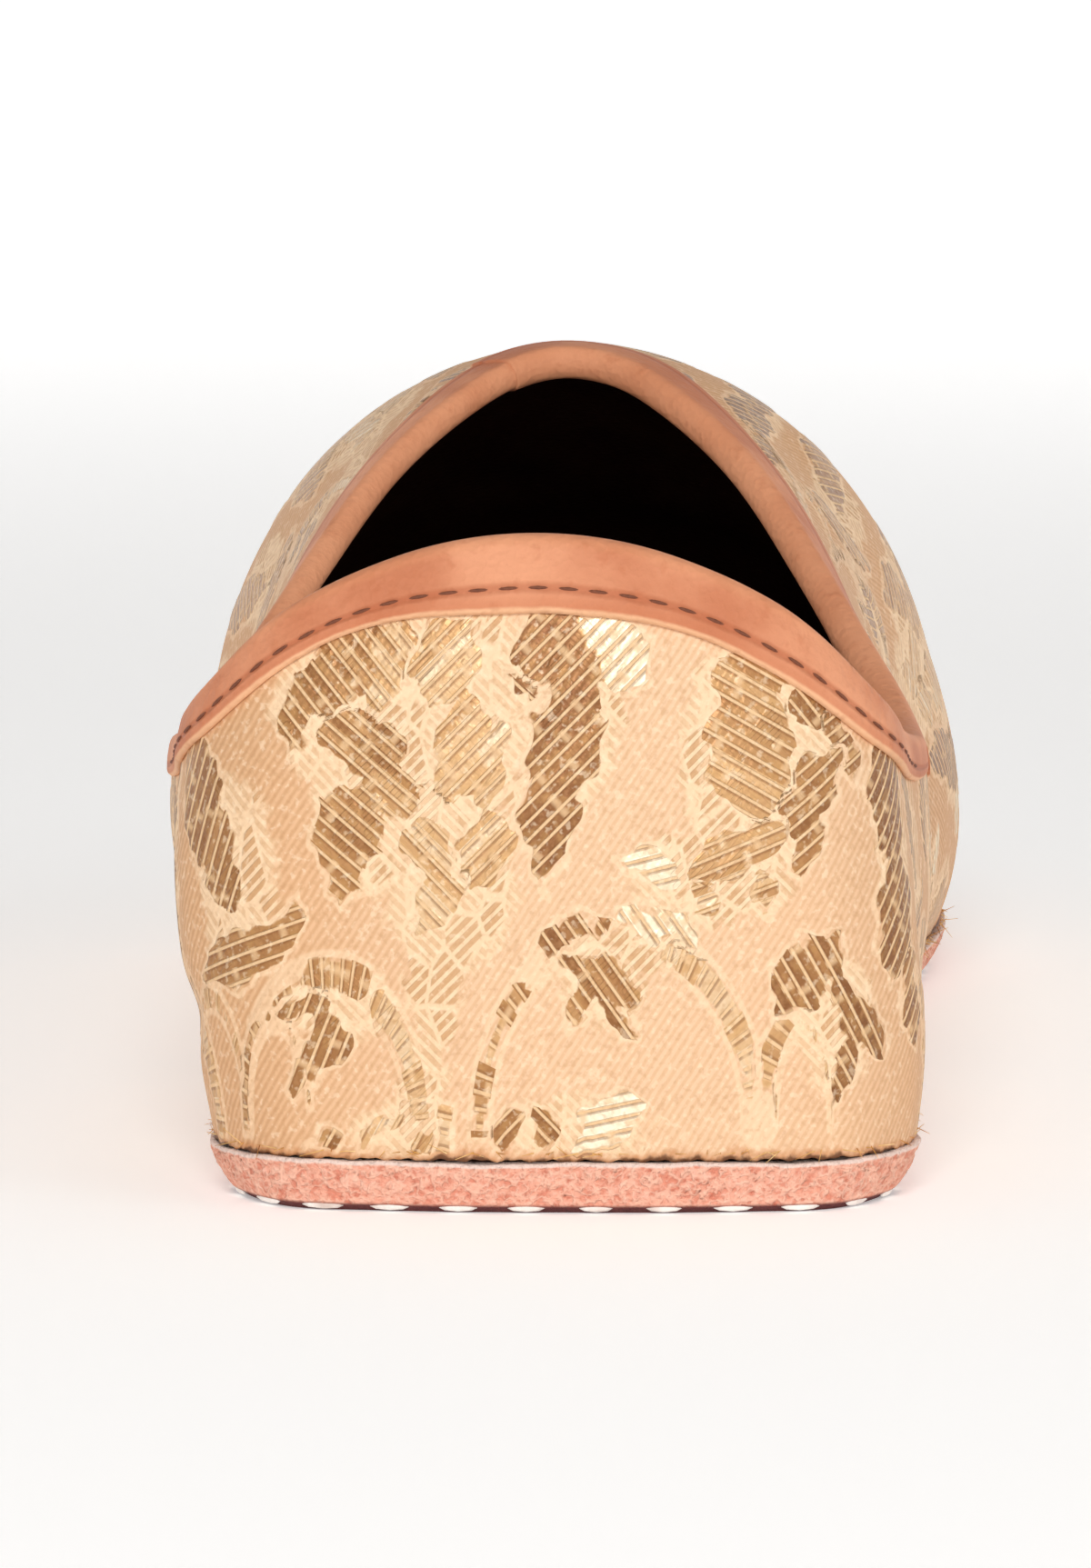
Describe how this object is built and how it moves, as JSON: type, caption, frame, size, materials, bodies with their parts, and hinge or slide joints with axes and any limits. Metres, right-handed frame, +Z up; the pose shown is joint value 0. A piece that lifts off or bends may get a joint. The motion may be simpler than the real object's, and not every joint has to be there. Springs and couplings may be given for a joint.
{
  "type": "mojari shoe",
  "caption": "Straight-lasted brocade slip-on shoe with a deep side-dipping collar, pointed throat, leather edge binding and flat leather sole; worn on either foot.",
  "frame": {"origin": "on the floor, under the middle of the shoe's bounding box", "axes": "+Y from the heel to the toe, +X to the right seen from behind, +Z up"},
  "size_m": [0.0802, 0.281, 0.0711],
  "materials": {
    "brocade": "woven metallic brocade on leather",
    "binding": "smooth tan leather",
    "sole": "raw sueded edge",
    "insole": "dark smooth leather"
  },
  "bodies": {
    "root": {"outsole": "sole", "insole": "insole", "upper": "brocade", "topline_binding": "binding"}
  },
  "joints": []
}
